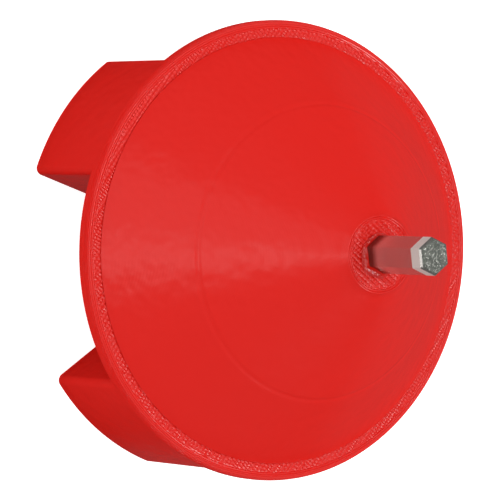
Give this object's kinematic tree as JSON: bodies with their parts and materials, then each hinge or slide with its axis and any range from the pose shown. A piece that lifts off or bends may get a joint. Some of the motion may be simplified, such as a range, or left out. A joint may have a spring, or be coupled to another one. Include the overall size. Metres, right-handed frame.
{
  "type": "cap driver",
  "caption": "Four-jaw cap driver for a power drill: printed cone and rim on a hex steel shank, for turning large ribbed caps.",
  "frame": {"origin": "on the tool's axis, in the plane of the jaw ends that the tool stands on", "axes": "+Z along the tool's axis from the jaw ends to the shank's tip; the gaps between the jaws lie on the X and Y axes, and the jaws are centred at 45, 135, 225 and 315 degrees from +X"},
  "size_m": [0.09, 0.09, 0.073],
  "materials": {
    "printed_plastic": "layered print, satin gloss, bright red",
    "plated_shank": "bright nickel plate over drawn hex steel",
    "cured_epoxy": "clear cured adhesive, glossy, picks up the red of the print",
    "zinc_steel": "bright zinc plate"
  },
  "bodies": {
    "root": {"printed_body": "printed_plastic", "hex_shank": "plated_shank", "epoxy_bond": "cured_epoxy", "retaining_washer": "zinc_steel", "retaining_screw": "zinc_steel"}
  },
  "joints": []
}
